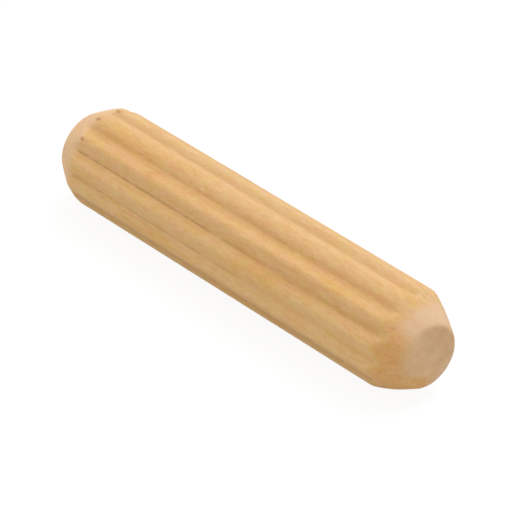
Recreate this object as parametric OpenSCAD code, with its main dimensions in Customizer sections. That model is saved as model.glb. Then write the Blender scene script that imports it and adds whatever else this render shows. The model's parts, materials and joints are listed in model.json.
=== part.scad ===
// Straight fluted dowel pin, turned from one length of hardwood.
// The pin lies along X with the origin on its axis, halfway between its end faces.
// One flute points straight down, so the pin rests on the two lands beside it.

/* [Pin] */
// Diameter over the lands between the flutes
pin_d = 8; // [6:0.5:12]
// Length from one end face to the other
pin_len = 35; // [25:1:60]

/* [Flutes] */
// Number of straight flutes round the shank
flute_count = 12; // [8:1:16]
// Depth of a flute below the lands
flute_depth = 0.4; // [0.2:0.05:0.6]
// Width of the land left standing between two flutes
land_w = 0.38; // [0.2:0.02:0.6]

/* [Ends] */
// Length of the chamfer at each end, measured along the pin
chamfer_len = 2.6; // [1.5:0.1:4]
// Diameter of the end face, measured where it would meet the chamfer in a sharp edge
end_d = 5.1; // [3:0.1:5.2]
// Radius that eases the shoulder between shank and chamfer
shoulder_r = 1.5; // [0.5:0.1:2.5]
// Radius that eases the rim of the end face
rim_r = 0.4; // [0.1:0.05:0.6]

/* [Hidden] */

pin_r = pin_d / 2;
end_r = end_d / 2;
half_len = pin_len / 2;

flute_pitch = 360 / flute_count;
// Angle between the middle of a flute and the edge of the land beside it
flute_half_angle = (flute_pitch - land_w / pin_r * 180 / PI) / 2;
// How far the cutter runs past the land's edge and past the end faces, so that it cuts clean
cutter_overrun = 0.5;

ease_steps = 5;
round_steps = 120;

beech = [0.85, 0.68, 0.45];

// Unit vector from one point of a section towards another
function heading(from, to) = (to - from) / norm(to - from);

// Points of an arc that rounds the corner between its two neighbours in a section
function eased(before, corner, after, radius) =
    let (
        back = heading(corner, before),
        onward = heading(corner, after),
        half_corner = acos(back * onward) / 2,
        centre = corner + heading([0, 0], back + onward) * radius / sin(half_corner),
        first = corner + back * radius / tan(half_corner) - centre,
        last = corner + onward * radius / tan(half_corner) - centre,
        turn = acos(first * last / (radius * radius)),
        side = sign(first.x * last.y - first.y * last.x)
    )
    [
        for (step = [0 : ease_steps])
            let (angle = side * turn * step / ease_steps)
                centre + [
                    first.x * cos(angle) - first.y * sin(angle),
                    first.x * sin(angle) + first.y * cos(angle)
                ]
    ];

// Half of the turned section, from the middle of the shank to the middle of one end face
function end_section() =
    let (
        shank = [pin_r, 0],
        shoulder = [pin_r, half_len - chamfer_len],
        rim = [end_r, half_len],
        face = [0, half_len]
    )
    concat(
        eased(shank, shoulder, rim, shoulder_r),
        eased(shoulder, rim, face, rim_r),
        [face]
    );

// The plain pin before it is fluted
module turned_blank() {
    upper = end_section();
    lower = [for (i = [len(upper) - 1 : -1 : 0]) [upper[i].x, -upper[i].y]];
    rotate([0, 90, 0])
        rotate_extrude($fn = round_steps)
            polygon(concat(lower, upper));
}

// A prism with the section of one flute, its two walls meeting in a line at the bottom
module flute_cutter() {
    bottom = [pin_r - flute_depth, 0];
    edge = pin_r * [cos(flute_half_angle), sin(flute_half_angle)];
    past_edge = edge + cutter_overrun * heading(bottom, edge);
    beyond = [pin_r + flute_depth + cutter_overrun, past_edge.y];
    rotate([90, 0, 90])
        translate([0, 0, -half_len - cutter_overrun])
            linear_extrude(pin_len + 2 * cutter_overrun)
                polygon([
                    bottom,
                    past_edge,
                    beyond,
                    [beyond.x, -beyond.y],
                    [past_edge.x, -past_edge.y]
                ]);
}

module dowel_pin() {
    color(beech)
        difference() {
            turned_blank();
            for (i = [0 : flute_count - 1])
                rotate([i * flute_pitch - 90, 0, 0])
                    flute_cutter();
        }
}

dowel_pin();
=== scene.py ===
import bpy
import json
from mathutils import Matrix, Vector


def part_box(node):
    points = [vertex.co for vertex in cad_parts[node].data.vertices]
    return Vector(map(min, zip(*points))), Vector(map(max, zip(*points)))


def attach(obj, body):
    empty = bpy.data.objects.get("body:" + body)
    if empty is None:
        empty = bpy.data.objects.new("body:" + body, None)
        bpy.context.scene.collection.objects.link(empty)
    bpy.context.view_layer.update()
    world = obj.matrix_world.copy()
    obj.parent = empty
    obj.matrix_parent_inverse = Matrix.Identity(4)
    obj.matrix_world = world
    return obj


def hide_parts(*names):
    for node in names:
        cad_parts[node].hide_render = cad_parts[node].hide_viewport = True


bl_info = {
    "name": "Fluted Dowel Pin",
    "version": (1, 0, 0),
    "blender": (4, 5, 0),
    "location": "3D Viewport > Sidebar > Dowel",
    "description": "Turned and fluted beech dowel pin, lying on a pale studio floor",
    "category": "Add Mesh",
}

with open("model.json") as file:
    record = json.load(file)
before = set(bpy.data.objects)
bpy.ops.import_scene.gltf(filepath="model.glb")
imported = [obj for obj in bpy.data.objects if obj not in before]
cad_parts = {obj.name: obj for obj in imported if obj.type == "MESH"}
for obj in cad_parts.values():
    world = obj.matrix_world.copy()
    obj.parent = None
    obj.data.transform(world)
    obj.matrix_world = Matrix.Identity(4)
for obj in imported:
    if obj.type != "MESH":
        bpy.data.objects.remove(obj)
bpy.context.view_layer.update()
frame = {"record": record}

import json
import math
from typing import NamedTuple

import bpy
from bpy.props import FloatProperty, FloatVectorProperty, IntProperty, PointerProperty
from mathutils import Euler, Vector

MM = 0.001
CAD_NODE = "dowel_pin"
PIN_BODY = "root"

# The box of the whole model as it was packed, before anything is dressed
PIN_LOW, PIN_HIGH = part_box(CAD_NODE)
SHANK = next(m["dims"] for m in frame["record"]["mounts"] if m["name"] == "fluted_shank")
PIN_LENGTH = PIN_HIGH.x - PIN_LOW.x
PIN_DIAMETER = 2 * SHANK["r_mm"] * MM
CHAMFER_LENGTH = (PIN_LENGTH - SHANK["length_mm"] * MM) / 2


def paint(red, green, blue):
    """A colour as Blender works with it, from the 0 to 255 values of a colour picker."""

    def straightened(level):
        """The sRGB curve: a straight line near black, and a power above it."""
        share = level / 255
        return share / 12.92 if share <= 0.04045 else ((share + 0.055) / 1.055) ** 2.4

    return tuple(straightened(level) for level in (red, green, blue))


# ---------------------------------------------------------------------------
# Sizes and colours that a user would change
# ---------------------------------------------------------------------------


class DowelPinSizes(bpy.types.PropertyGroup):
    """Sizes of the turned and fluted pin"""

    length: FloatProperty(
        name="Length",
        description="From one end face to the other",
        default=PIN_LENGTH, min=20 * MM, max=80 * MM, precision=5,
        subtype="DISTANCE", unit="LENGTH",
    )
    diameter: FloatProperty(
        name="Diameter",
        description="Over the lands between the flutes",
        default=PIN_DIAMETER, min=5 * MM, max=14 * MM, precision=5,
        subtype="DISTANCE", unit="LENGTH",
    )
    flute_count: IntProperty(
        name="Flutes",
        description="Number of straight flutes round the shank",
        default=12, min=6, max=20,
    )
    flute_depth: FloatProperty(
        name="Flute Depth",
        description="Depth of a flute below the lands",
        default=0.4 * MM, min=0.1 * MM, max=0.8 * MM, precision=5,
        subtype="DISTANCE", unit="LENGTH",
    )
    land_width: FloatProperty(
        name="Land Width",
        description="Width of the land left standing between two flutes",
        default=0.56 * MM, min=0.1 * MM, max=1.0 * MM, precision=5,
        subtype="DISTANCE", unit="LENGTH",
    )
    near_chamfer: FloatProperty(
        name="Near Chamfer",
        description="Length of the chamfer at the +X end, measured along the pin",
        default=CHAMFER_LENGTH + 0.07 * MM, min=1 * MM, max=5 * MM, precision=5,
        subtype="DISTANCE", unit="LENGTH",
    )
    far_chamfer: FloatProperty(
        name="Far Chamfer",
        description="Length of the chamfer at the -X end, measured along the pin",
        default=CHAMFER_LENGTH - 0.42 * MM, min=1 * MM, max=5 * MM, precision=5,
        subtype="DISTANCE", unit="LENGTH",
    )
    near_face: FloatProperty(
        name="Near Face",
        description="Diameter of the +X end face, where it would meet the chamfer in a sharp edge",
        default=4.91 * MM, min=2 * MM, max=6 * MM, precision=5,
        subtype="DISTANCE", unit="LENGTH",
    )
    far_face: FloatProperty(
        name="Far Face",
        description="Diameter of the -X end face, where it would meet the chamfer in a sharp edge",
        default=5.02 * MM, min=2 * MM, max=6 * MM, precision=5,
        subtype="DISTANCE", unit="LENGTH",
    )
    near_shoulder: FloatProperty(
        name="Near Shoulder",
        description="Radius that eases the shoulder between shank and chamfer at the +X end",
        default=1.1 * MM, min=0.2 * MM, max=3 * MM, precision=5,
        subtype="DISTANCE", unit="LENGTH",
    )
    far_shoulder: FloatProperty(
        name="Far Shoulder",
        description="Radius that eases the shoulder between shank and chamfer at the -X end",
        default=1.88 * MM, min=0.2 * MM, max=3 * MM, precision=5,
        subtype="DISTANCE", unit="LENGTH",
    )
    near_rim: FloatProperty(
        name="Near Rim",
        description="Radius that eases the rim of the +X end face",
        default=0.3 * MM, min=0.05 * MM, max=0.8 * MM, precision=5,
        subtype="DISTANCE", unit="LENGTH",
    )
    far_rim: FloatProperty(
        name="Far Rim",
        description="Radius that eases the rim of the -X end face",
        default=0.3 * MM, min=0.05 * MM, max=0.8 * MM, precision=5,
        subtype="DISTANCE", unit="LENGTH",
    )
    near_crown: FloatProperty(
        name="Near Crown",
        description="How far the chamfer at the +X end swells beyond a straight cone",
        default=0.07 * MM, min=0.0, max=0.4 * MM, precision=5,
        subtype="DISTANCE", unit="LENGTH",
    )
    far_crown: FloatProperty(
        name="Far Crown",
        description="How far the chamfer at the -X end swells beyond a straight cone",
        default=0.04 * MM, min=0.0, max=0.4 * MM, precision=5,
        subtype="DISTANCE", unit="LENGTH",
    )
    flute_turn: FloatProperty(
        name="Flute Turn",
        description="How far all the flutes are turned round the pin, from +Z towards +Y",
        default=math.radians(1.6), subtype="ANGLE", unit="ROTATION",
    )
    drift: FloatProperty(
        name="Drift",
        description="How far the flutes drift from even spacing on their way round the pin",
        default=math.radians(1.63), subtype="ANGLE", unit="ROTATION",
    )
    drift_turn: FloatProperty(
        name="Drift Turn",
        description="Where they have drifted furthest the same way, from +Y towards +Z",
        default=math.radians(47.5), subtype="ANGLE", unit="ROTATION",
    )
    spread: FloatProperty(
        name="Spread",
        description="How far the flutes at the top are pushed on, which leaves a wider land beside them",
        default=math.radians(6), subtype="ANGLE", unit="ROTATION",
    )
    spread_turn: FloatProperty(
        name="Spread Turn",
        description="Which flutes those are, from +Y towards +Z",
        default=math.radians(80), subtype="ANGLE", unit="ROTATION",
    )
    shallow: FloatProperty(
        name="Shallow",
        description="How much less deep the flutes are on the side that was pressed least",
        default=0.45, min=0.0, max=1.0, subtype="FACTOR",
    )
    shallow_turn: FloatProperty(
        name="Shallow Turn",
        description="Which side that is, from +Y towards +Z",
        default=math.radians(-120), subtype="ANGLE", unit="ROTATION",
    )
    land_ease: FloatProperty(
        name="Land Ease",
        description="How far down the flute walls the lands are pressed round",
        default=0.4 * MM, min=0.01 * MM, max=0.8 * MM, precision=5,
        subtype="DISTANCE", unit="LENGTH",
    )
    root_ease: FloatProperty(
        name="Root Ease",
        description="Half the width of the rounding at the bottom of a flute",
        default=0.17 * MM, min=0.0, max=0.4 * MM, precision=5,
        subtype="DISTANCE", unit="LENGTH",
    )
    fibre_relief: FloatProperty(
        name="Fibre Relief",
        description="Depth of the furrows that the raised grain leaves along the pin",
        default=0.02 * MM, min=0.0, max=0.1 * MM, precision=5,
        subtype="DISTANCE", unit="LENGTH",
    )
    run_out: FloatProperty(
        name="Run-out",
        description="How far off centre the chamfer and face are cut at the +X end",
        default=0.21 * MM, min=0.0, max=0.5 * MM, precision=5,
        subtype="DISTANCE", unit="LENGTH",
    )
    run_out_turn: FloatProperty(
        name="Run-out Turn",
        description="Which way round the pin the +X end is cut off centre, from +Y towards +Z",
        default=math.radians(-166), subtype="ANGLE", unit="ROTATION",
    )
    skew: FloatProperty(
        name="Skew",
        description="How far one side of the +X end face stands out past its middle, cut out of square",
        default=0.37 * MM, min=0.0, max=0.8 * MM, precision=5,
        subtype="DISTANCE", unit="LENGTH",
    )
    skew_turn: FloatProperty(
        name="Skew Turn",
        description="Which way round the pin that side lies, from +Y towards +Z",
        default=math.radians(-43), subtype="ANGLE", unit="ROTATION",
    )
    rub_width: FloatProperty(
        name="Rub Width",
        description="How far in from its rim the +X end face is rubbed down, where it is rubbed most",
        default=0.94 * MM, min=0.0, max=1.5 * MM, precision=5,
        subtype="DISTANCE", unit="LENGTH",
    )
    rub_depth: FloatProperty(
        name="Rub Depth",
        description="How far the rim of the +X end face is rubbed down there",
        default=0.04 * MM, min=0.0, max=0.5 * MM, precision=5,
        subtype="DISTANCE", unit="LENGTH",
    )
    rub_turn: FloatProperty(
        name="Rub Turn",
        description="Which way round the pin that rim is rubbed most, from +Y towards +Z",
        default=math.radians(-95), subtype="ANGLE", unit="ROTATION",
    )
    round_width: FloatProperty(
        name="Round Width",
        description="How wide the rim of the +X end face is rubbed round, where it is rubbed round most",
        default=0.55 * MM, min=0.0, max=1.5 * MM, precision=5,
        subtype="DISTANCE", unit="LENGTH",
    )
    round_depth: FloatProperty(
        name="Round Depth",
        description="How far the rim of the +X end face is rubbed back there",
        default=0.1 * MM, min=0.0, max=0.5 * MM, precision=5,
        subtype="DISTANCE", unit="LENGTH",
    )
    round_turn: FloatProperty(
        name="Round Turn",
        description="Which way round the pin that rim is rubbed round most, from +Y towards +Z",
        default=math.radians(165), subtype="ANGLE", unit="ROTATION",
    )
    near_tear: FloatProperty(
        name="Near Tear",
        description="How much of the tearing at the -X ends of the lands shows at their +X ends",
        default=0.3, min=0.0, max=1.0, subtype="FACTOR",
    )
    chip_depth: FloatProperty(
        name="Chip Depth",
        description="Depth of the fibres torn out at the ends of the lands",
        default=0.1 * MM, min=0.0, max=0.4 * MM, precision=5,
        subtype="DISTANCE", unit="LENGTH",
    )
    half_stations: IntProperty(
        name="Stations",
        description="Rings of vertices from the middle of the pin to one end",
        default=162, min=40, max=400,
    )
    steps_per_flute: IntProperty(
        name="Steps per Flute",
        description="Faces across one flute and its share of the lands",
        default=24, min=8, max=48,
    )
    seed: IntProperty(
        name="Seed",
        description="Picks one pin out of the many that the machine makes",
        default=419, min=0, max=999,
    )


class BeechFinish(bpy.types.PropertyGroup):
    """Colours of the bare wood"""

    heartwood: FloatVectorProperty(
        name="Heartwood",
        description="Pinkish wood on the side nearer the middle of the tree",
        default=paint(250, 212, 160), size=3, min=0.0, max=1.0, subtype="COLOR",
    )
    honey: FloatVectorProperty(
        name="Honey",
        description="Warm wood through the middle of the pin",
        default=paint(249, 206, 148), size=3, min=0.0, max=1.0, subtype="COLOR",
    )
    sapwood: FloatVectorProperty(
        name="Sapwood",
        description="Yellower wood on the side nearer the bark",
        default=paint(254, 214, 154), size=3, min=0.0, max=1.0, subtype="COLOR",
    )
    latewood: FloatVectorProperty(
        name="Latewood",
        description="What the edge of a growth ring does to the colour",
        default=(0.86, 0.80, 0.74), size=3, min=0.0, max=1.0, subtype="COLOR",
    )
    # Painted shade: darkens the flutes towards their bottoms, where the shade falls in them
    groove_shade: FloatVectorProperty(
        name="Groove",
        description="What the dust that stays in a flute does to the colour",
        default=(0.84, 0.80, 0.75), size=3, min=0.0, max=1.0, subtype="COLOR",
    )
    # Colour of the dark line along the bottom of some flutes, and of torn fibres
    root_line: FloatVectorProperty(
        name="Root Line",
        description="Crushed fibres along the bottom of a flute",
        default=paint(146, 98, 44), size=3, min=0.0, max=1.0, subtype="COLOR",
    )
    ray_fleck: FloatVectorProperty(
        name="Ray Fleck",
        description="What a short dark fleck does to the colour",
        default=(0.90, 0.84, 0.76), size=3, min=0.0, max=1.0, subtype="COLOR",
    )
    end_grain: FloatVectorProperty(
        name="End Grain",
        description="Greyish wood of an end face, sawn straight across the grain",
        default=paint(251, 210, 165), size=3, min=0.0, max=1.0, subtype="COLOR",
    )
    # Partly painted shade: besides the heartwood, this darkens the end faces on their upper back side,
    # under the upper rim
    end_shade: FloatVectorProperty(
        name="End Shade",
        description="What the wood nearer the middle of the tree does to the colour of an end face",
        default=(0.905, 0.865, 0.80), size=3, min=0.0, max=1.0, subtype="COLOR",
    )
    cut_wood: FloatVectorProperty(
        name="Cut Wood",
        description="Pale wood that the cutter bares on the chamfers",
        default=paint(251, 216, 186), size=3, min=0.0, max=1.0, subtype="COLOR",
    )
    end_pores: FloatVectorProperty(
        name="End Pores",
        description="What the open pores of cut ends do to the colour",
        default=(0.80, 0.74, 0.70), size=3, min=0.0, max=1.0, subtype="COLOR",
    )
    burnish: FloatVectorProperty(
        name="Burnish",
        description="What the rubbing of the cutter does to the colour of a chamfer",
        default=(1.0, 0.88, 0.76), size=3, min=0.0, max=1.0, subtype="COLOR",
    )
    roughness: FloatProperty(
        name="Roughness",
        description="Roughness of the sanded wood",
        default=0.58, min=0.2, max=1.0, subtype="FACTOR",
    )
    ring_width: FloatProperty(
        name="Ring Width",
        description="From one growth ring to the next",
        default=3.1 * MM, min=0.5 * MM, max=8 * MM, precision=5,
        subtype="DISTANCE", unit="LENGTH",
    )
    ring_shift: FloatProperty(
        name="Ring Shift",
        description="Where the growth rings begin, as a share of the ring width",
        default=0.22, min=0.0, max=1.0, subtype="FACTOR",
    )
    pith_distance: FloatProperty(
        name="Pith Distance",
        description="From the middle of the tree to the axis of the pin",
        default=38 * MM, min=6 * MM, max=400 * MM, precision=4,
        subtype="DISTANCE", unit="LENGTH",
    )
    pith_turn: FloatProperty(
        name="Pith Turn",
        description="Which way round the pin the middle of the tree lies, from +Y towards +Z",
        default=math.radians(40), subtype="ANGLE", unit="ROTATION",
    )


class StudioSet(bpy.types.PropertyGroup):
    """Floor, light and camera"""

    floor_span: FloatProperty(
        name="Floor Span",
        description="Side of the square floor",
        default=3.0, min=0.5, max=20.0, subtype="DISTANCE", unit="LENGTH",
    )
    floor_paint: FloatProperty(
        name="Floor Paint",
        description="How much of the light that falls on it the floor gives back",
        default=0.61, min=0.0, max=1.0, subtype="FACTOR",
    )
    ambient: FloatProperty(
        name="Ambient",
        description="Light from all round, where 1 shows a colour as it is written",
        default=0.57, min=0.0, max=2.0,
    )
    key_power: FloatProperty(
        name="Key Power",
        description="Power of the large softbox above and behind the pin",
        default=2.5, min=0.0, max=100.0, unit="POWER",
    )
    key_span: FloatProperty(
        name="Key Span",
        description="Side of the large softbox",
        default=0.45, min=0.05, max=3.0, subtype="DISTANCE", unit="LENGTH",
    )
    key_azimuth: FloatProperty(
        name="Key Azimuth",
        description="Where the large softbox stands round the pin, with 0 on the front side",
        default=math.radians(178.5), subtype="ANGLE", unit="ROTATION",
    )
    key_elevation: FloatProperty(
        name="Key Elevation",
        description="Height of the large softbox above the horizon",
        default=math.radians(70.5), subtype="ANGLE", unit="ROTATION",
    )
    fill_power: FloatProperty(
        name="Fill Power",
        description="Power of the small softbox low in front of the pin",
        default=0.68, min=0.0, max=100.0, unit="POWER",
    )
    fill_span: FloatProperty(
        name="Fill Span",
        description="Side of the small softbox",
        default=0.35, min=0.05, max=3.0, subtype="DISTANCE", unit="LENGTH",
    )
    fill_azimuth: FloatProperty(
        name="Fill Azimuth",
        description="Where the small softbox stands round the pin, with 0 on the front side",
        default=math.radians(-55), subtype="ANGLE", unit="ROTATION",
    )
    fill_elevation: FloatProperty(
        name="Fill Elevation",
        description="Height of the small softbox above the horizon",
        default=math.radians(14), subtype="ANGLE", unit="ROTATION",
    )
    lamp_distance: FloatProperty(
        name="Lamp Distance",
        description="From each softbox to the middle of the pin",
        default=0.8, min=0.2, max=5.0, subtype="DISTANCE", unit="LENGTH",
    )
    camera_distance: FloatProperty(
        name="Camera Distance",
        description="From the camera to the point it looks at",
        default=215.40 * MM, min=50 * MM, max=5.0, precision=5,
        subtype="DISTANCE", unit="LENGTH",
    )
    camera_azimuth: FloatProperty(
        name="Camera Azimuth",
        description="Where the camera stands round the pin, with 0 on the front side",
        default=math.radians(39.811), subtype="ANGLE", unit="ROTATION",
    )
    camera_elevation: FloatProperty(
        name="Camera Elevation",
        description="Height of the camera above the horizon",
        default=math.radians(35.605), subtype="ANGLE", unit="ROTATION",
    )
    camera_roll: FloatProperty(
        name="Camera Roll",
        description="Turn of the camera about the line of sight",
        default=math.radians(5.67), subtype="ANGLE", unit="ROTATION",
    )
    camera_aim: FloatVectorProperty(
        name="Camera Aim",
        description="The point that the camera looks at",
        default=(0.602 * MM, -0.304 * MM, -0.404 * MM), size=3, precision=6,
        subtype="TRANSLATION", unit="LENGTH",
    )
    camera_lens: FloatProperty(
        name="Camera Lens",
        description="Focal length in millimetres on a 36 mm wide sensor",
        default=208.42, min=10.0, max=1000.0,
    )


# ---------------------------------------------------------------------------
# Node trees are written as sums
# ---------------------------------------------------------------------------


class Reading:
    """A number that nodes work out. A sum written with it adds the nodes for that sum."""

    def __init__(self, bench, socket):
        self.bench = bench
        self.socket = socket

    def __add__(self, other):
        return self.bench.math("ADD", self, other)

    def __sub__(self, other):
        return self.bench.math("SUBTRACT", self, other)

    def __rsub__(self, other):
        return self.bench.math("SUBTRACT", other, self)

    def __mul__(self, other):
        return self.bench.math("MULTIPLY", self, other)

    def __truediv__(self, other):
        return self.bench.math("DIVIDE", self, other)

    def __rtruediv__(self, other):
        return self.bench.math("DIVIDE", other, self)


class Bench:
    """Adds nodes to one tree and joins them up"""

    def __init__(self, tree):
        self.tree = tree

    def feed(self, socket, value):
        """Joins a reading or an output to a socket, or writes a plain value into it."""
        if isinstance(value, Reading):
            value = value.socket
        if isinstance(value, bpy.types.NodeSocket):
            self.tree.links.new(value, socket)
        else:
            socket.default_value = value

    def add(self, kind, settings=None, inputs=None):
        """A new node, with its settings and its inputs by name."""
        node = self.tree.nodes.new(kind)
        for name, value in (settings or {}).items():
            setattr(node, name, value)
        for name, value in (inputs or {}).items():
            socket = next(s for s in node.inputs if s.enabled and name in (s.name, s.identifier))
            self.feed(socket, value)
        return node

    def output(self, node, name=None):
        """A reading of a node's output by name, or of its first one that is in use."""
        socket = next(s for s in node.outputs if s.enabled and name in (None, s.name))
        return Reading(self, socket)

    def math(self, operation, *values):
        """What one operation makes of its values."""
        node = self.tree.nodes.new("ShaderNodeMath")
        node.operation = operation
        for socket, value in zip(node.inputs, values):
            self.feed(socket, value)
        return Reading(self, node.outputs[0])

    def scale(self, vector, factor):
        """A vector made longer or shorter."""
        node = self.add(
            "ShaderNodeVectorMath", {"operation": "SCALE"}, {"Vector": vector, "Scale": factor}
        )
        return self.output(node, "Vector")

    def combine(self, x=0.0, y=0.0, z=0.0):
        """A place from its distances along the three axes."""
        return self.output(self.add("ShaderNodeCombineXYZ", inputs={"X": x, "Y": y, "Z": z}))

    def separate(self, vector):
        """The distances of a place along the three axes."""
        node = self.add("ShaderNodeSeparateXYZ", inputs={"Vector": vector})
        return [self.output(node, axis) for axis in "XYZ"]

    def ramp(self, value, low, high, start=0.0, end=1.0):
        """Goes smoothly from start to end while the value goes from low to high."""
        node = self.add(
            "ShaderNodeMapRange",
            {"interpolation_type": "SMOOTHSTEP"},
            {"Value": value, "From Min": low, "From Max": high, "To Min": start, "To Max": end},
        )
        return self.output(node, "Result")

    def random(self, number, seed):
        """An even random value from 0 to 1 that belongs to a whole number."""
        node = self.add(
            "FunctionNodeRandomValue", {"data_type": "FLOAT"}, {"ID": number, "Seed": seed}
        )
        return self.output(node)

    def cells(self, place, dimensions="3D"):
        """How far the nearest cell's middle is, and a random number for that cell."""
        node = self.add(
            "ShaderNodeTexVoronoi",
            {"voronoi_dimensions": dimensions},
            {"Vector": place, "Scale": 1.0},
        )
        pick, _, _ = self.separate(node.outputs["Color"])
        return self.output(node, "Distance"), pick

    def noise(self, place, detail=2.0, roughness=0.5):
        """Even noise from 0 to 1, about one swell for each unit of the place."""
        node = self.add(
            "ShaderNodeTexNoise",
            {"noise_dimensions": "3D"},
            {"Vector": place, "Scale": 1.0, "Detail": detail, "Roughness": roughness},
        )
        return Reading(self, node.outputs[0])

    def mix(self, share, first, second, blend="MIX"):
        """A colour between two others."""
        node = self.add(
            "ShaderNodeMix",
            {"data_type": "RGBA", "blend_type": blend},
            {"Factor": share, "A": first, "B": second},
        )
        return self.output(node, "Result")


def between(share, first, second):
    """The number that lies a share of the way from the first to the second."""
    return share * (second - first) + first


def opaque(colour):
    """A colour as a socket takes it."""
    return (*colour, 1.0)


def grey(level):
    """A colour without a hue, as a socket takes it."""
    return opaque((level, level, level))


# ---------------------------------------------------------------------------
# The pin
# ---------------------------------------------------------------------------

# A size of the pin is an input of its tree, of the kind that fits its property
SOCKET_KINDS = {"FLOAT": "NodeSocketFloat", "INT": "NodeSocketInt"}

# Faces along each eased corner of the turned outline, and how close points are that are joined
ROUNDING_STEPS = 12
WELD_DISTANCE = 0.001 * MM

# Cosine of the angle from its middle at which each of these has died out
SPREAD_EDGE = 0.82
SHALLOW_EDGE = 0.5

# The sawn end face: how far inside its rim it ends at +X, how soft its edge is, how much softer
# where the rim is rubbed round, and the share of the rub's width that takes it away
FACE_INSET = 0.08 * MM
FACE_BLUR = 0.15 * MM
ROUNDED_BLUR = 0.4 * MM
RUBBED_SHARE = 0.85

# Where bare cut wood begins to show and where it is full: by how far the blank lies below the
# walls of the flutes, how far below the lands, and how far a place is from the -X shoulder
BELOW_WALLS = (-0.15 * MM, 0.4 * MM)
BELOW_LANDS = 0.15 * MM
FROM_FAR_SHOULDER = (0.42 * MM, -0.35 * MM)

# A spot of torn fibres: half its length and width, and the range it strays over along the pin
TEAR_LENGTH = 0.38 * MM
TEAR_WIDTH = 0.26 * MM
TEAR_SCATTER = 0.5 * MM

# The strands that fray its edge, how far they do, and the draws between which a spot shows
STRAND_LENGTH = 0.25 * MM
STRANDS_PER_FLUTE = 12
TEAR_FRAYING = 0.8
TEAR_PICK = (0.35, 0.9)

# Nicks: the cells they lie in, half their size as a share of a cell, the draws between which one
# shows, and how many cells the pattern moves on from one seed to the next
NICK_CELL_LENGTH = 5 * MM
NICK_CELL_WIDTH = 2.4 * MM
NICK_SIZE = 0.09
NICK_PICK = (0.72, 0.8)
NICK_SEED_STEP = 7.3

# What these random draws add to the seed, so that no two draws are alike
TEAR_STRENGTH_DRAW = 1
FLUTE_MARK_DRAW = 2

# Raised grain, in swells for each metre along and across the pin
FURROWS = (160, 3600)
SWELLS = (60, 700)


class Blank(NamedTuple):
    """The turned blank, as one reading of each kind for every point of the grid"""

    x: Reading  # place along the pin
    radius: Reading  # distance from the axis
    true_radius: Reading  # the same before the chamfer is crowned and the +X end cut off centre
    rim: Reading  # radius of the rim of the end face
    end_face: Reading  # share from 0 to 1 of the sawn face
    worn: Reading  # share from 0 to 1 of the wear of the +X rim


def number_properties(group):
    """The properties of a group that hold plain numbers."""
    return [prop for prop in group.bl_rna.properties if prop.type in SOCKET_KINDS]


def by_index(bench, values):
    """One number for each point of a line, in order."""
    node = bench.add("GeometryNodeIndexSwitch", {"data_type": "FLOAT"})
    while len(node.index_switch_items) < len(values):
        node.index_switch_items.new()
    bench.feed(node.inputs["Index"], bench.output(bench.add("GeometryNodeInputIndex")))
    for number, value in enumerate(values):
        bench.feed(node.inputs[number + 1], value)
    return bench.output(node)


def half_section(bench, sizes, end):
    """The turned outline from the middle of the shank, over one chamfer, to the middle of a face."""
    radius = sizes["Diameter"] / 2
    half = sizes["Length"] / 2
    if end == "Near":
        half = half - sizes["Skew"]

    # Each corner: how far along the pin, how far out, and the radius that eases it
    corners = (
        (0.0, radius, 0.0),
        (half - sizes[end + " Chamfer"], radius, sizes[end + " Shoulder"]),
        (half, sizes[end + " Face"] / 2, sizes[end + " Rim"]),
        (half, 0.0, 0.0),
    )
    along, out, easing = (by_index(bench, column) for column in zip(*corners))
    line = bench.add("GeometryNodeMeshLine", inputs={"Count": len(corners)})
    curve = bench.add("GeometryNodeMeshToCurve", inputs={"Mesh": line.outputs[0]})
    placed = bench.add(
        "GeometryNodeSetPosition",
        inputs={"Geometry": curve.outputs[0], "Position": bench.combine(along, out)},
    )
    eased = bench.add("GeometryNodeFilletCurve", {"mode": "POLY"}, {
        "Curve": placed.outputs[0],
        "Count": ROUNDING_STEPS,
        "Radius": easing,
        "Limit Radius": True,
    })
    return bench.output(eased)


def turned_end(bench, sizes, end, along):
    """Place on the outline of one end: the distance along the pin, the radius that the tool
    leaves there, and that radius once the chamfer is crowned."""
    outline = bench.add("GeometryNodeSampleCurve", {"mode": "FACTOR"}, {
        "Curves": half_section(bench, sizes, end),
        "Factor": bench.math("ABSOLUTE", along),
    })
    reach, turned, _ = bench.separate(bench.output(outline, "Position"))
    radius = sizes["Diameter"] / 2
    share = bench.math("MINIMUM", (radius - turned) / (radius - sizes[end + " Face"] / 2), 1.0)

    # The swell is 1 halfway up the chamfer, and 0 at the shoulder and the rim
    swell = share * (1.0 - share) * 4
    return reach, turned, turned + sizes[end + " Crown"] * swell


def out_of_true(bench, sizes, angle, turned):
    """How far out and how far along the +X end is shifted, cut off centre and out of square."""
    radius = sizes["Diameter"] / 2
    face = sizes["Near Face"] / 2
    share = bench.math("MINIMUM", (radius - turned) / (radius - face), turned / face)
    share = bench.math("MINIMUM", share, 1.0)
    out = sizes["Run-out"] * bench.math("COSINE", angle - sizes["Run-out Turn"]) * share
    along = sizes["Skew"] * bench.math("COSINE", angle - sizes["Skew Turn"]) * share
    return out, along


def rubbed_rim(bench, sizes, name, near, angle, turned):
    """How far one side of the +X rim is rubbed, and how far each place near it is, from 0 to 1."""
    rim = sizes["Near Face"] / 2
    lean = bench.ramp(bench.math("COSINE", angle - sizes[name + " Turn"]), 0.0, 1.0) * near
    on_face = bench.ramp(turned, rim - sizes[name + " Width"], rim)
    on_chamfer = bench.ramp(turned, rim + sizes[name + " Width"], rim)
    return lean, lean * bench.math("MINIMUM", on_face, on_chamfer)


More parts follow.
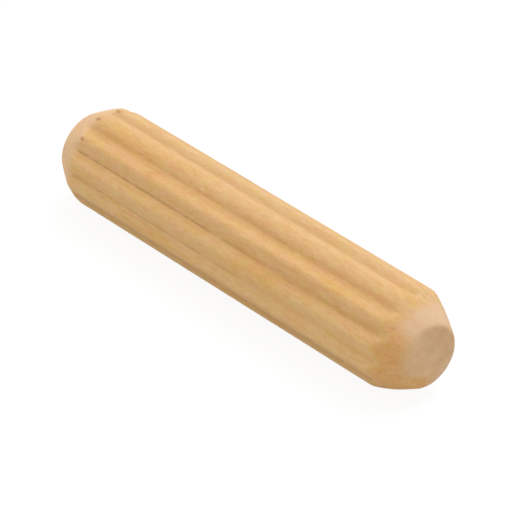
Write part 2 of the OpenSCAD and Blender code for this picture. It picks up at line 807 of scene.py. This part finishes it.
def turned_blank(bench, sizes, along, angle):
    """The pin before it is fluted, with its two halves joined in the middle of the shank."""
    far_reach, far_turned, far_crowned = turned_end(bench, sizes, "Far", along)
    near_reach, near_turned, near_crowned = turned_end(bench, sizes, "Near", along)
    near = bench.math("GREATER_THAN", along, 0.0)
    shifted_out, shifted_along = out_of_true(bench, sizes, angle, near_turned)
    leaning, worn = rubbed_rim(bench, sizes, "Rub", near, angle, near_turned)
    rounding, rounded = rubbed_rim(bench, sizes, "Round", near, angle, near_turned)
    near_x = near_reach + shifted_along - worn * sizes["Rub Depth"] - rounded * sizes["Round Depth"]
    turned = between(near, far_turned, near_turned)
    rim = between(near, sizes["Far Face"] / 2, sizes["Near Face"] / 2)
    face_edge = rim - near * FACE_INSET - leaning * sizes["Rub Width"] * RUBBED_SHARE
    face_blur = rounding * ROUNDED_BLUR + FACE_BLUR
    return Blank(
        x=between(near, 0.0 - far_reach, near_x),
        radius=between(near, far_crowned, near_crowned + shifted_out),
        true_radius=turned,
        rim=rim,
        end_face=bench.ramp(turned, face_edge + face_blur, face_edge - face_blur),
        worn=worn,
    )


def strayed(bench, sizes, turn, angle):
    """The turn round the pin as the flutes count it, since they are not quite evenly spaced."""
    drift = sizes["Drift"] * bench.math("COSINE", angle - sizes["Drift Turn"])
    off_spread = bench.math("COSINE", angle - sizes["Spread Turn"])
    spread = sizes["Spread"] * bench.ramp(off_spread, SPREAD_EDGE, 1.0)
    return turn + (drift + spread + sizes["Flute Turn"]) / math.tau


def flute_walls(bench, sizes, turn, angle):
    """Distance from the axis to the walls of the nearest flute, how near its bottom is, and how
    much pressing the lands round would lower them."""
    flutes = sizes["Flutes"]
    pitch = math.tau / flutes
    off_bottom = bench.math("ABSOLUTE", turn * flutes - bench.math("ROUND", turn * flutes)) * pitch
    radius = sizes["Diameter"] / 2
    off_shallow = bench.math("COSINE", angle - sizes["Shallow Turn"])
    shallow = sizes["Shallow"] * bench.ramp(off_shallow, SHALLOW_EDGE, 1.0)
    bottom = radius - sizes["Flute Depth"] * (1.0 - shallow)

    # A wall is a straight line from the bottom to the edge of the land, eased at the bottom
    half_angle = (pitch - sizes["Land Width"] / radius) / 2
    edge_out = radius * bench.math("COSINE", half_angle)
    edge_side = radius * bench.math("SINE", half_angle)
    tilt = bench.math("ARCTAN2", edge_out - bottom, edge_side)
    wall_foot = bottom * bench.math("COSINE", tilt)
    ease = sizes["Root Ease"] / bottom
    rounded = bench.math("SQRT", off_bottom * off_bottom + ease * ease)
    walls = wall_foot / bench.math("COSINE", rounded + tilt)

    # What a smooth minimum takes off the middle of a land: a sixth of its width, times the cube
    # of how far it reaches there
    over_land = wall_foot / bench.math("COSINE", pitch / 2 + tilt) - radius
    eased = bench.math("MAXIMUM", sizes["Land Ease"] - over_land, 0.0) / sizes["Land Ease"]
    lowered = eased * eased * eased * sizes["Land Ease"] / 6
    return walls, 1.0 - off_bottom * 2 / pitch, lowered


def torn_ends(bench, sizes, turn, x):
    """Depth, as a share of the deepest, of the fibres torn out where each land meets a chamfer."""
    flutes = sizes["Flutes"]
    land = bench.math("FLOOR", turn * flutes)
    near = bench.math("GREATER_THAN", x, 0.0)
    number = bench.math("MODULO", land + flutes, flutes) + flutes * near
    shift = (bench.random(number, sizes["Seed"]) - 0.5) * TEAR_SCATTER
    end = sizes["Length"] / 2 - sizes["Far Chamfer"]
    along = (bench.math("ABSOLUTE", x) - end + shift) / TEAR_LENGTH
    across = (turn * flutes - land - 0.5) * math.tau / flutes * sizes["Diameter"] / 2 / TEAR_WIDTH
    strands = bench.noise(bench.combine(x / STRAND_LENGTH, turn * flutes * STRANDS_PER_FLUTE))
    apart = bench.math("SQRT", along * along + across * across) + (strands - 0.5) * TEAR_FRAYING
    strength = bench.ramp(bench.random(number, sizes["Seed"] + TEAR_STRENGTH_DRAW), *TEAR_PICK)
    return bench.ramp(apart, 1.0, 0.0) * strength * between(near, 1.0, sizes["Near Tear"])


def nicks(bench, sizes, turn, x):
    """Share from 0 to 1 of the small spindle-shaped nicks scattered over the pin."""
    along = x / NICK_CELL_LENGTH + sizes["Seed"] * NICK_SEED_STEP
    around = turn * math.tau * sizes["Diameter"] / 2 / NICK_CELL_WIDTH
    apart, pick = bench.cells(bench.combine(along, around), "2D")
    return bench.ramp(apart, NICK_SIZE, 0.0) * bench.ramp(pick, *NICK_PICK)


def bared_wood(bench, sizes, blank, walls):
    """Share from 0 to 1 of the wood that the cutter bared, where flutes and lands are gone."""
    radius = sizes["Diameter"] / 2
    flutes_gone = bench.ramp(walls - blank.radius, *BELOW_WALLS)
    lands_gone = bench.ramp(blank.true_radius, radius, radius - BELOW_LANDS)
    far_shoulder = sizes["Length"] / 2 - sizes["Far Chamfer"]
    far_end = bench.ramp(far_shoulder + blank.x, *FROM_FAR_SHOULDER)
    return bench.math("MAXIMUM", flutes_gone * lands_gone, far_end)


def keep(bench, geometry, name, value):
    """Stores a number on every point, for the wood to read."""
    node = bench.add("GeometryNodeStoreNamedAttribute", {"data_type": "FLOAT"}, {
        "Geometry": geometry, "Name": name, "Value": value,
    })
    return bench.output(node)


def raised_grain(bench, sizes, pin):
    """Long furrows and swells along the pin, worked out from where its points lie."""
    x, y, z = bench.separate(bench.output(bench.add("GeometryNodeInputPosition")))
    along, across = FURROWS
    furrows = bench.noise(bench.combine(x * along, y * across, z * across), 2.0)
    along, across = SWELLS
    swells = bench.noise(bench.combine(x * along, y * across, z * across), 1.0)
    raised = (furrows + swells - 1.0) * sizes["Fibre Relief"]
    normal = bench.output(bench.add("GeometryNodeInputNormal"), "Normal")
    return bench.add("GeometryNodeSetPosition", inputs={
        "Geometry": pin, "Offset": bench.scale(normal, raised),
    })


def pin_tree(properties, wood):
    """Geometry Nodes tree of the pin: a grid rolled round the turned outline, with flutes cut in."""
    tree = bpy.data.node_groups.new("Fluted Pin", "GeometryNodeTree")
    tree.is_modifier = True
    for prop in properties:
        tree.interface.new_socket(prop.name, in_out="INPUT", socket_type=SOCKET_KINDS[prop.type])
    tree.interface.new_socket("Pin", in_out="OUTPUT", socket_type="NodeSocketGeometry")
    bench = Bench(tree)
    entry = bench.add("NodeGroupInput")
    sizes = {prop.name: bench.output(entry, prop.name) for prop in properties}
    flutes = sizes["Flutes"]
    radius = sizes["Diameter"] / 2

    # A grid one turn wide and, from end to end, -1 to 1 long
    grid = bench.add("GeometryNodeMeshGrid", inputs={
        "Size X": 1.0,
        "Size Y": 2.0,
        "Vertices X": flutes * sizes["Steps per Flute"] + 1,
        "Vertices Y": sizes["Stations"] * 2 + 1,
    })
    across, along, _ = bench.separate(bench.output(bench.add("GeometryNodeInputPosition")))
    turn = across + 0.5

    # The seam of the grid points straight down, and one flute very nearly does
    angle = turn * math.tau - math.pi / 2
    blank = turned_blank(bench, sizes, along, angle)

    # Flutes run out where the chamfer drops below their bottom
    counted = strayed(bench, sizes, turn, angle)
    walls, nearness, lowered = flute_walls(bench, sizes, counted, angle)
    whole = bench.ramp(blank.true_radius, radius - sizes["Flute Depth"], radius)
    pressed = blank.radius + lowered * whole
    fluted = bench.math("SMOOTH_MIN", pressed, walls, sizes["Land Ease"])
    torn = torn_ends(bench, sizes, turn, blank.x)
    nicked = nicks(bench, sizes, turn, blank.x)
    out = fluted - torn * sizes["Chip Depth"] - nicked * sizes["Chip Depth"] / 2

    # What the wood has to know about each place, stored while the grid is still flat
    number = bench.math("MODULO", bench.math("ROUND", counted * flutes) + flutes, flutes)
    marks = {
        "flute": nearness * whole,
        "end_cut": bared_wood(bench, sizes, blank, walls),
        "end_depth": bench.ramp(blank.true_radius, radius, blank.rim),
        "end_face": blank.end_face,
        "worn": blank.worn,
        "flute_draw": bench.random(number, sizes["Seed"] + FLUTE_MARK_DRAW),
        "torn": torn,
        "nicked": nicked,
    }
    marked = grid.outputs[0]
    for name, value in marks.items():
        marked = keep(bench, marked, name, value)

    # The flat grid is rolled up, and its seam and the middles of its faces are closed
    place = bench.combine(
        blank.x, out * bench.math("COSINE", angle), out * bench.math("SINE", angle)
    )
    rolled = bench.add("GeometryNodeSetPosition", inputs={"Geometry": marked, "Position": place})
    closed = bench.add("GeometryNodeMergeByDistance", inputs={
        "Geometry": rolled.outputs[0], "Distance": WELD_DISTANCE,
    })
    furrowed = raised_grain(bench, sizes, closed.outputs[0])
    smooth = bench.add("GeometryNodeSetShadeSmooth", inputs={"Geometry": furrowed.outputs[0]})
    realised = bench.add("GeometryNodeRealizeInstances", inputs={"Geometry": smooth.outputs[0]})
    dressed = bench.add("GeometryNodeSetMaterial", inputs={
        "Geometry": realised.outputs[0], "Material": wood,
    })
    leave = bench.add("NodeGroupOutput")
    bench.feed(leave.inputs["Pin"], bench.output(dressed))
    return tree


def plain_mesh(name, tree, values):
    """Runs a Geometry Nodes tree once and keeps its result as a plain mesh object."""
    carrier = bpy.data.objects.new(name + "_carrier", bpy.data.meshes.new(name + "_carrier"))
    bpy.context.scene.collection.objects.link(carrier)
    modifier = carrier.modifiers.new("Fluted Pin", "NODES")
    modifier.node_group = tree
    for item in tree.interface.items_tree:
        if item.in_out == "INPUT":
            modifier[item.identifier] = values[item.name]
    evaluated = carrier.evaluated_get(bpy.context.evaluated_depsgraph_get())
    mesh = bpy.data.meshes.new_from_object(evaluated)
    mesh.name = name
    bpy.data.objects.remove(carrier)
    piece = bpy.data.objects.new(name, mesh)
    bpy.context.scene.collection.objects.link(piece)
    return piece


# ---------------------------------------------------------------------------
# Wood
# ---------------------------------------------------------------------------

# The names that the pin's tree stores its marks under
MARKS = ("flute", "flute_draw", "end_cut", "end_depth", "end_face", "worn", "torn", "nicked")


class Pattern(NamedTuple):
    """Noise drawn out along the grain, with its scales in swells for each millimetre. It shows
    between its low and its high value, and there it multiplies the colour by its tint."""

    along: float
    across: float
    detail: float = 2.0
    roughness: float = 0.6
    shift: float = 0.0
    low: float = 0.0
    high: float = 1.0
    tint: tuple = (1.0, 1.0, 1.0)


# From broad patches, rosy, straw-coloured and flushed ones, to fine specks
LONG_GRAIN = {
    "patches": Pattern(
        along=0.16, across=0.75, detail=3.0, low=0.5, high=0.72, tint=(1.0, 0.965, 0.82),
    ),
    "rosy": Pattern(
        along=0.9, across=2.3, shift=31.0, low=0.35, high=0.65, tint=(1.0, 0.925, 0.98),
    ),
    "straw": Pattern(
        along=0.8, across=2.1, shift=47.0, low=0.35, high=0.65, tint=(0.965, 0.985, 0.84),
    ),
    "flush": Pattern(
        along=1.6, across=4.5, shift=83.0, low=0.4, high=0.7, tint=(1.0, 0.935, 0.88),
    ),
    "streaks": Pattern(
        along=0.1, across=2.2, detail=3.0, shift=11.0,
        low=0.48, high=0.75, tint=(0.95, 0.91, 0.86),
    ),
    "fibres": Pattern(
        along=1.0, across=8.0, detail=3.0, roughness=0.65, shift=23.0,
        low=0.45, high=0.8, tint=(0.90, 0.86, 0.81),
    ),
    "specks": Pattern(
        along=4.0, across=7.0, shift=61.0, low=0.4, high=0.65, tint=(0.965, 0.94, 0.91),
    ),
}

# How the rings wander, where the line at the bottom of a flute is broken, and the end grain, whose
# rays run along the way out from the pith
RING_WANDER = Pattern(along=0.02, across=0.2, detail=1.0, roughness=0.5)
LINE_BREAKS = Pattern(
    along=0.3, across=0.0, detail=3.0, roughness=0.7, shift=5.0, low=0.32, high=0.52,
)
END_RAYS = Pattern(along=0.6, across=4.0, low=0.45, high=0.7, tint=(0.97, 0.955, 0.94))
END_BLOTCHES = Pattern(
    along=0.0, across=0.9, shift=71.0, low=0.42, high=0.62, tint=(0.94, 0.92, 0.89),
)
END_PORES = Pattern(along=0.0, across=7.0, roughness=0.7, shift=3.0, low=0.52, high=0.78)

# A range says where something begins to show and where it is full. Four numbers also say how
# strongly it shows at both. Ranges across the pin are in millimetres towards the bark
HONEY_BEGINS = (-3.5, -0.5)
SAPWOOD_BEGINS = (0.5, 3.5)

# Shares of a growth ring over which it darkens and over which it ends, and how dark it gets
RING_DARKENS = (0.45, 0.93)
RING_ENDS = (1.0, 0.95)
RING_STRENGTH = 0.28

# Ray flecks: cells for each millimetre, a fleck's edge as shares of a cell, and the draws
# between which it shows
FLECKS_ALONG = 0.6
FLECKS_ACROSS = 3.6
FLECK_EDGE = (0.28, 0.08)
FLECK_PICK = (0.55, 0.85)

# Flutes, by how near a place is to the bottom, which is at 1, and by the flute's random draw.
# Painted shade darkens them towards the bottom, little in those with the highest draws. Those have
# a dark line along the bottom, which fades towards +X, and a brown tint, which fades the other way
GROOVE_SHADE_DEPTH = (0.2, 1.0)
GROOVE_SHADE_DRAWS = (0.84, 0.9, 1.0, 0.15)
LINE_DEPTH = (0.86, 0.98)
LINE_DRAWS = (0.84, 0.96)
LINE_FADES = (7.0, -3.0, 0.15, 1.0)
LINE_STRENGTH = 0.4
BROWN_DEPTH = (0.6, 0.95)
BROWN_DRAWS = (0.9, 0.94)
BROWN_TINT = (0.92, 0.86, 0.75)
BROWN_FADES = 0.8

# Millimetres along the pin over which its +X half begins, in the middle of the shank
NEAR_HALF = (0.0, 1.0)

# The +X chamfer is rubbed warm towards the bark, less so at the rim, and not where it is worn
RUBBED_BEGINS = (-0.8, 1.6)
RUBBED_ENDS = (4.6, 3.2)
RUBBED_DEPTH = (1.2, 0.8)
WORN_EDGE = (0.0, 0.2)
WORN_SIDE = (-1.0, 0.8)

# Pale cut wood on each chamfer, by how far a place is from the shoulder, which is at 0, to the
# rim, which is at 1: where it begins, where it is full and how strongly it shows. The third range
# is where it ends at +X, towards the bark, which keeps it to the upper side there as partly painted
# highlight. The last value is for wood that is worn
FAR_BARED = (-0.2, 0.0, 0.36)
NEAR_BARED = (0.1, 0.8, 0.52)
NEAR_HIGHLIGHT_SIDE = (1.5, -0.6)
WORN_BARED = 0.55

# End faces, and how strongly pores, torn fibres and nicks show
END_SHADED = (1.2, -2.0)
END_GRAIN_COVER = 0.8
FACE_PORES = 0.5
CHAMFER_PORES = 0.25
TORN_SHADE = 0.6
NICK_SHADE = 0.5

# The relief of the fibres, too fine for the mesh, and what it does to the gloss
BUMP_STRENGTH = 0.5
BUMP_DEPTH = 0.03 * MM
FIBRE_HEIGHT = 0.6
STREAK_HEIGHT = 0.4
FLECK_DEPTH = 0.5
PORE_DEPTH = 0.7
GLOSS_RANGE = (0.2, 0.8)
SMOOTHER = 0.06
ROUGHER = 0.08
SPECULAR = 0.1


class Grain:
    """Patterns of one piece of wood, from the place in it in millimetres"""

    def __init__(self, bench, finish):
        self.bench = bench
        spot = bench.add("ShaderNodeTexCoord")
        measure = bench.add("ShaderNodeMapping", {"vector_type": "POINT"}, {
            "Vector": spot.outputs["Object"], "Scale": (1 / MM, 1 / MM, 1 / MM),
        })
        self.x, self.y, self.z = bench.separate(bench.output(measure))

        # Rings round a pith that lies beside the pin, wandering a little along the grain
        pith_distance = finish.pith_distance / MM
        from_pith_y = self.y - pith_distance * math.cos(finish.pith_turn)
        from_pith_z = self.z - pith_distance * math.sin(finish.pith_turn)
        from_pith = bench.math("SQRT", from_pith_y * from_pith_y + from_pith_z * from_pith_z)
        wander = self.swirl(RING_WANDER) - 0.5
        self.outward = from_pith - pith_distance + wander
        self.around = bench.math("ARCTAN2", from_pith_z, from_pith_y) * pith_distance

    def swirl(self, pattern):
        """The noise of a pattern, from 0 to 1."""
        place = self.bench.combine(
            self.x * pattern.along + pattern.shift,
            self.y * pattern.across + pattern.shift,
            self.z * pattern.across - pattern.shift,
        )
        return self.bench.noise(place, pattern.detail, pattern.roughness)

    def shown(self, pattern, swirl=None):
        """How strongly a pattern shows, from 0 to 1. Its noise may be one that is there already."""
        return self.bench.ramp(swirl or self.swirl(pattern), pattern.low, pattern.high)


def tinted(bench, colour, tint, share):
    """A colour multiplied by a tint, as far as the share goes."""
    return bench.mix(share, colour, opaque(tint), "MULTIPLY")


def heart_to_bark(bench, grain, finish):
    """Heartwood to sapwood across the pin, with growth rings that darken slowly and end sharply."""
    honey = bench.ramp(grain.outward, *HONEY_BEGINS)
    colour = bench.mix(honey, opaque(finish.heartwood), opaque(finish.honey))
    sapwood = bench.ramp(grain.outward, *SAPWOOD_BEGINS)
    colour = bench.mix(sapwood, colour, opaque(finish.sapwood))
    rings = bench.math("FRACT", grain.outward / (finish.ring_width / MM) + finish.ring_shift)
    late = bench.ramp(rings, *RING_DARKENS) * bench.ramp(rings, *RING_ENDS)
    return tinted(bench, colour, finish.latewood, late * RING_STRENGTH)


def ray_flecks(bench, grain):
    """Share from 0 to 1 of the short dark spindles along the grain."""
    place = bench.combine(
        grain.x * FLECKS_ALONG, grain.y * FLECKS_ACROSS, grain.z * FLECKS_ACROSS
    )
    apart, pick = bench.cells(place)
    return bench.ramp(apart, *FLECK_EDGE) * bench.ramp(pick, *FLECK_PICK)


def marked_flutes(bench, grain, finish, marks, colour):
    """Painted shade in the flutes, and a dark line and a brown tint in some of them."""
    depth = marks["flute"]
    draw = marks["flute_draw"]
    # Painted shade: darker towards the bottom of every flute, less in those with the highest draws
    groove_shaded = bench.ramp(depth, *GROOVE_SHADE_DEPTH) * bench.ramp(draw, *GROOVE_SHADE_DRAWS)
    colour = tinted(bench, colour, finish.groove_shade, groove_shaded)
    fading = bench.ramp(grain.x, *LINE_FADES)
    # A brown tint deep in the flutes with the highest draws, stronger towards +X
    browned = bench.ramp(depth, *BROWN_DEPTH) * bench.ramp(draw, *BROWN_DRAWS)
    colour = tinted(bench, colour, BROWN_TINT, browned * (1.0 - fading * BROWN_FADES))
    line = bench.ramp(depth, *LINE_DEPTH) * bench.ramp(draw, *LINE_DRAWS)
    line = line * grain.shown(LINE_BREAKS) * fading * LINE_STRENGTH
    return bench.mix(line, colour, opaque(finish.root_line))


def cut_chamfers(bench, grain, finish, marks, colour):
    """Pale cut wood towards the faces, kept to the upper side of the +X chamfer as partly painted
    highlight, and on one side of the +X end the warm rub of the cutter.
    """
    near = bench.ramp(grain.x, *NEAR_HALF)
    worn = bench.ramp(marks["worn"], *WORN_EDGE) * bench.ramp(grain.y, *WORN_SIDE)
    rubbed = bench.ramp(grain.outward, *RUBBED_BEGINS) * bench.ramp(grain.outward, *RUBBED_ENDS)
    rubbed = rubbed * bench.ramp(marks["end_depth"], *RUBBED_DEPTH) * (1.0 - worn)
    chamfer = marks["end_cut"] * (1.0 - marks["end_face"]) * near
    colour = tinted(bench, colour, finish.burnish, chamfer * rubbed)

    low, high, strength = (between(near, *pair) for pair in zip(FAR_BARED, NEAR_BARED))
    # Partly painted highlight: on the +X chamfer the pale cut wood keeps to the upper side, towards the
    # pith
    side = between(near, 1.0, bench.ramp(grain.outward, *NEAR_HIGHLIGHT_SIDE))
    bared = bench.ramp(marks["end_depth"], low, high) * side * strength
    bared = bench.math("MAXIMUM", marks["end_cut"] * bared, worn * WORN_BARED)
    return bench.mix(bared, colour, opaque(finish.cut_wood))


def end_grain(bench, grain, finish, faces, colour):
    """Greyish faces with rays and blotches, darker towards the pith on their upper back side: partly
    heartwood, partly painted shade under the upper rim.
    """
    shaded = bench.ramp(grain.outward, *END_SHADED)
    face_colour = tinted(bench, opaque(finish.end_grain), finish.end_shade, shaded)
    colour = bench.mix(faces * END_GRAIN_COVER, colour, face_colour)
    ray_place = bench.combine(grain.around * END_RAYS.across, grain.outward * END_RAYS.along)
    rays = bench.noise(ray_place, END_RAYS.detail, END_RAYS.roughness)
    colour = tinted(bench, colour, END_RAYS.tint, grain.shown(END_RAYS, rays) * faces)
    return tinted(bench, colour, END_BLOTCHES.tint, grain.shown(END_BLOTCHES) * faces)


def beech(finish):
    """Bare sanded beech"""
    material = bpy.data.materials.new("bare_beech")
    material.use_nodes = True
    material.node_tree.nodes.clear()
    bench = Bench(material.node_tree)
    grain = Grain(bench, finish)
    marks = {
        name: bench.output(bench.add("ShaderNodeAttribute", {"attribute_name": name}), "Fac")
        for name in MARKS
    }

    colour = heart_to_bark(bench, grain, finish)
    swirls = {name: grain.swirl(pattern) for name, pattern in LONG_GRAIN.items()}
    for name, pattern in LONG_GRAIN.items():
        colour = tinted(bench, colour, pattern.tint, grain.shown(pattern, swirls[name]))
    flecks = ray_flecks(bench, grain)
    colour = tinted(bench, colour, finish.ray_fleck, flecks * (1.0 - marks["end_cut"]))
    colour = marked_flutes(bench, grain, finish, marks, colour)
    colour = cut_chamfers(bench, grain, finish, marks, colour)
    colour = end_grain(bench, grain, finish, marks["end_face"], colour)

    # Open pores on all cut ends. Torn fibres are darker, nicks show clean wood
    opened = marks["end_face"] * FACE_PORES + marks["end_cut"] * CHAMFER_PORES
    opened = grain.shown(END_PORES) * opened
    colour = tinted(bench, colour, finish.end_pores, opened)
    colour = bench.mix(marks["torn"] * TORN_SHADE, colour, opaque(finish.root_line))
    colour = bench.mix(marks["nicked"] * NICK_SHADE, colour, opaque(finish.heartwood))

    height = swirls["fibres"] * FIBRE_HEIGHT + swirls["streaks"] * STREAK_HEIGHT
    height = height - flecks * FLECK_DEPTH - opened * PORE_DEPTH
    bump = bench.add("ShaderNodeBump", inputs={
        "Strength": BUMP_STRENGTH, "Distance": BUMP_DEPTH, "Height": height,
    })
    smoothest = finish.roughness - SMOOTHER
    roughest = finish.roughness + ROUGHER
    shader = bench.add("ShaderNodeBsdfPrincipled", inputs={
        "Base Color": colour,
        "Roughness": bench.ramp(swirls["fibres"], *GLOSS_RANGE, smoothest, roughest),
        "Specular IOR Level": SPECULAR,
        "Normal": bump.outputs[0],
    })
    leave = bench.add("ShaderNodeOutputMaterial")
    bench.feed(leave.inputs["Surface"], shader.outputs[0])
    return material


# ---------------------------------------------------------------------------
# Stage
# ---------------------------------------------------------------------------

# What the floor shows to the camera: its own glow, and how much of the light on it shows beside
# that, so that a shadow is faint
FLOOR_GLOW = 0.92
FLOOR_VEIL = 0.11

# The camera's sensor in millimetres, as Blender counts it, and the distances between which it sees
SENSOR_WIDTH = 36.0
NEAREST_SEEN = 10 * MM
FURTHEST_SEEN = 20.0


def seen_directly(bench):
    """1 for rays from the camera, and for what gloss and glass show of the surroundings."""
    path = bench.add("ShaderNodeLightPath")
    direct = bench.math(
        "MAXIMUM", bench.output(path, "Is Camera Ray"), bench.output(path, "Is Glossy Ray")
    )
    return bench.math("MAXIMUM", direct, bench.output(path, "Is Transmission Ray"))


def white_floor(stage):
    """Pale floor that shows white, and keeps a faint shadow"""
    material = bpy.data.materials.new("floor_white")
    material.use_nodes = True
    material.node_tree.nodes.clear()
    bench = Bench(material.node_tree)
    seen = seen_directly(bench)
    glow = bench.add("ShaderNodeEmission", inputs={"Color": grey(1.0), "Strength": FLOOR_GLOW})
    veil = bench.add("ShaderNodeBsdfDiffuse", inputs={"Color": grey(FLOOR_VEIL)})
    shown = bench.add("ShaderNodeAddShader")
    bench.feed(shown.inputs[0], glow.outputs[0])
    bench.feed(shown.inputs[1], veil.outputs[0])
    lit = bench.add("ShaderNodeBsdfDiffuse", inputs={"Color": grey(stage.floor_paint)})
    either = bench.add("ShaderNodeMixShader", inputs={"Fac": seen})
    bench.feed(either.inputs[1], lit.outputs[0])
    bench.feed(either.inputs[2], shown.outputs[0])
    leave = bench.add("ShaderNodeOutputMaterial")
    bench.feed(leave.inputs["Surface"], either.outputs[0])
    return material


def lay_floor(stage):
    """Square floor under the pin"""
    half = stage.floor_span / 2
    level = PIN_LOW.z
    corners = [(-half, -half, level), (half, -half, level), (half, half, level), (-half, half, level)]
    mesh = bpy.data.meshes.new("studio_floor")
    mesh.from_pydata(corners, [], [(0, 1, 2, 3)])
    mesh.materials.append(white_floor(stage))
    floor = bpy.data.objects.new("studio_floor", mesh)
    bpy.context.scene.collection.objects.link(floor)


def set_world(stage):
    """Even light from all round, behind a white background"""
    world = bpy.data.worlds.new("studio_air")
    bpy.context.scene.world = world
    world.use_nodes = True
    world.node_tree.nodes.clear()
    bench = Bench(world.node_tree)
    strength = bench.add("ShaderNodeMapRange", inputs={
        "Value": seen_directly(bench), "To Min": stage.ambient, "To Max": 1.0,
    })
    air = bench.add("ShaderNodeBackground", inputs={
        "Color": grey(1.0), "Strength": bench.output(strength, "Result"),
    })
    leave = bench.add("ShaderNodeOutputWorld")
    bench.feed(leave.inputs["Surface"], air.outputs[0])


def direction(azimuth, elevation):
    """The way from the pin to something that stands round it."""
    return Vector((
        math.sin(azimuth) * math.cos(elevation),
        -math.cos(azimuth) * math.cos(elevation),
        math.sin(elevation),
    ))


def hang_softbox(name, azimuth, elevation, power, span, distance):
    """Square lamp that faces the pin"""
    lamp = bpy.data.lights.new(name, "AREA")
    lamp.shape = "SQUARE"
    lamp.size = span
    lamp.energy = power
    softbox = bpy.data.objects.new(name, lamp)
    towards = direction(azimuth, elevation)
    softbox.location = towards * distance
    softbox.rotation_euler = (-towards).to_track_quat("-Z", "Y").to_euler()
    softbox.visible_camera = False
    bpy.context.scene.collection.objects.link(softbox)


def set_camera(stage):
    """Long lens that looks down on the pin from one end"""
    data = bpy.data.cameras.new("camera")
    data.lens = stage.camera_lens
    data.sensor_width = SENSOR_WIDTH
    data.clip_start = NEAREST_SEEN
    data.clip_end = FURTHEST_SEEN
    camera = bpy.data.objects.new("camera", data)
    towards = direction(stage.camera_azimuth, stage.camera_elevation)
    camera.location = Vector(stage.camera_aim) + towards * stage.camera_distance
    level = (-towards).to_track_quat("-Z", "Y")
    camera.rotation_euler = (level @ Euler((0.0, 0.0, stage.camera_roll)).to_quaternion()).to_euler()
    bpy.context.scene.collection.objects.link(camera)
    bpy.context.scene.camera = camera


# ---------------------------------------------------------------------------
# Operators
# ---------------------------------------------------------------------------


class DOWEL_OT_make_pin(bpy.types.Operator):
    """Turn and flute the pin out of beech, in place of the plain solid"""

    bl_idname = "dowel.make_pin"
    bl_label = "Make Pin"

    def execute(self, context):
        sizes = context.scene.dowel_pin_sizes
        properties = number_properties(sizes)
        tree = pin_tree(properties, beech(context.scene.beech_finish))
        values = {prop.name: getattr(sizes, prop.identifier) for prop in properties}
        pin = plain_mesh("fluted_pin", tree, values)
        if not pin.data.polygons:
            raise RuntimeError("the pin's node tree gave no faces")
        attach(pin, PIN_BODY)
        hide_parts(CAD_NODE)
        return {"FINISHED"}


class DOWEL_OT_set_stage(bpy.types.Operator):
    """Lay the floor, light it and set up the camera"""

    bl_idname = "dowel.set_stage"
    bl_label = "Set Stage"

    def execute(self, context):
        stage = context.scene.studio_set
        set_world(stage)
        lay_floor(stage)
        hang_softbox(
            "key_softbox", stage.key_azimuth, stage.key_elevation,
            stage.key_power, stage.key_span, stage.lamp_distance,
        )
        hang_softbox(
            "fill_softbox", stage.fill_azimuth, stage.fill_elevation,
            stage.fill_power, stage.fill_span, stage.lamp_distance,
        )
        set_camera(stage)
        context.scene.view_settings.view_transform = "Standard"
        return {"FINISHED"}


class DOWEL_PT_maker(bpy.types.Panel):
    """Sizes, colours and the two steps that make the scene"""

    bl_idname = "DOWEL_PT_maker"
    bl_label = "Fluted Dowel Pin"
    bl_space_type = "VIEW_3D"
    bl_region_type = "UI"
    bl_category = "Dowel"

    def draw(self, context):
        scene = context.scene
        for title, group, operator in (
            ("Pin", scene.dowel_pin_sizes, None),
            ("Beech", scene.beech_finish, DOWEL_OT_make_pin.bl_idname),
            ("Studio", scene.studio_set, DOWEL_OT_set_stage.bl_idname),
        ):
            box = self.layout.box()
            box.label(text=title)
            for name in group.__annotations__:
                box.prop(group, name)
            if operator:
                box.operator(operator)


CLASSES = (
    DowelPinSizes,
    BeechFinish,
    StudioSet,
    DOWEL_OT_make_pin,
    DOWEL_OT_set_stage,
    DOWEL_PT_maker,
)


def register():
    for cls in CLASSES:
        bpy.utils.register_class(cls)
    bpy.types.Scene.dowel_pin_sizes = PointerProperty(type=DowelPinSizes)
    bpy.types.Scene.beech_finish = PointerProperty(type=BeechFinish)
    bpy.types.Scene.studio_set = PointerProperty(type=StudioSet)


def unregister():
    del bpy.types.Scene.studio_set
    del bpy.types.Scene.beech_finish
    del bpy.types.Scene.dowel_pin_sizes
    for cls in reversed(CLASSES):
        bpy.utils.unregister_class(cls)


def main():
    """Makes the pin and its stage."""
    register()
    bpy.ops.dowel.make_pin()
    bpy.ops.dowel.set_stage()


if __name__ == "__main__":
    main()
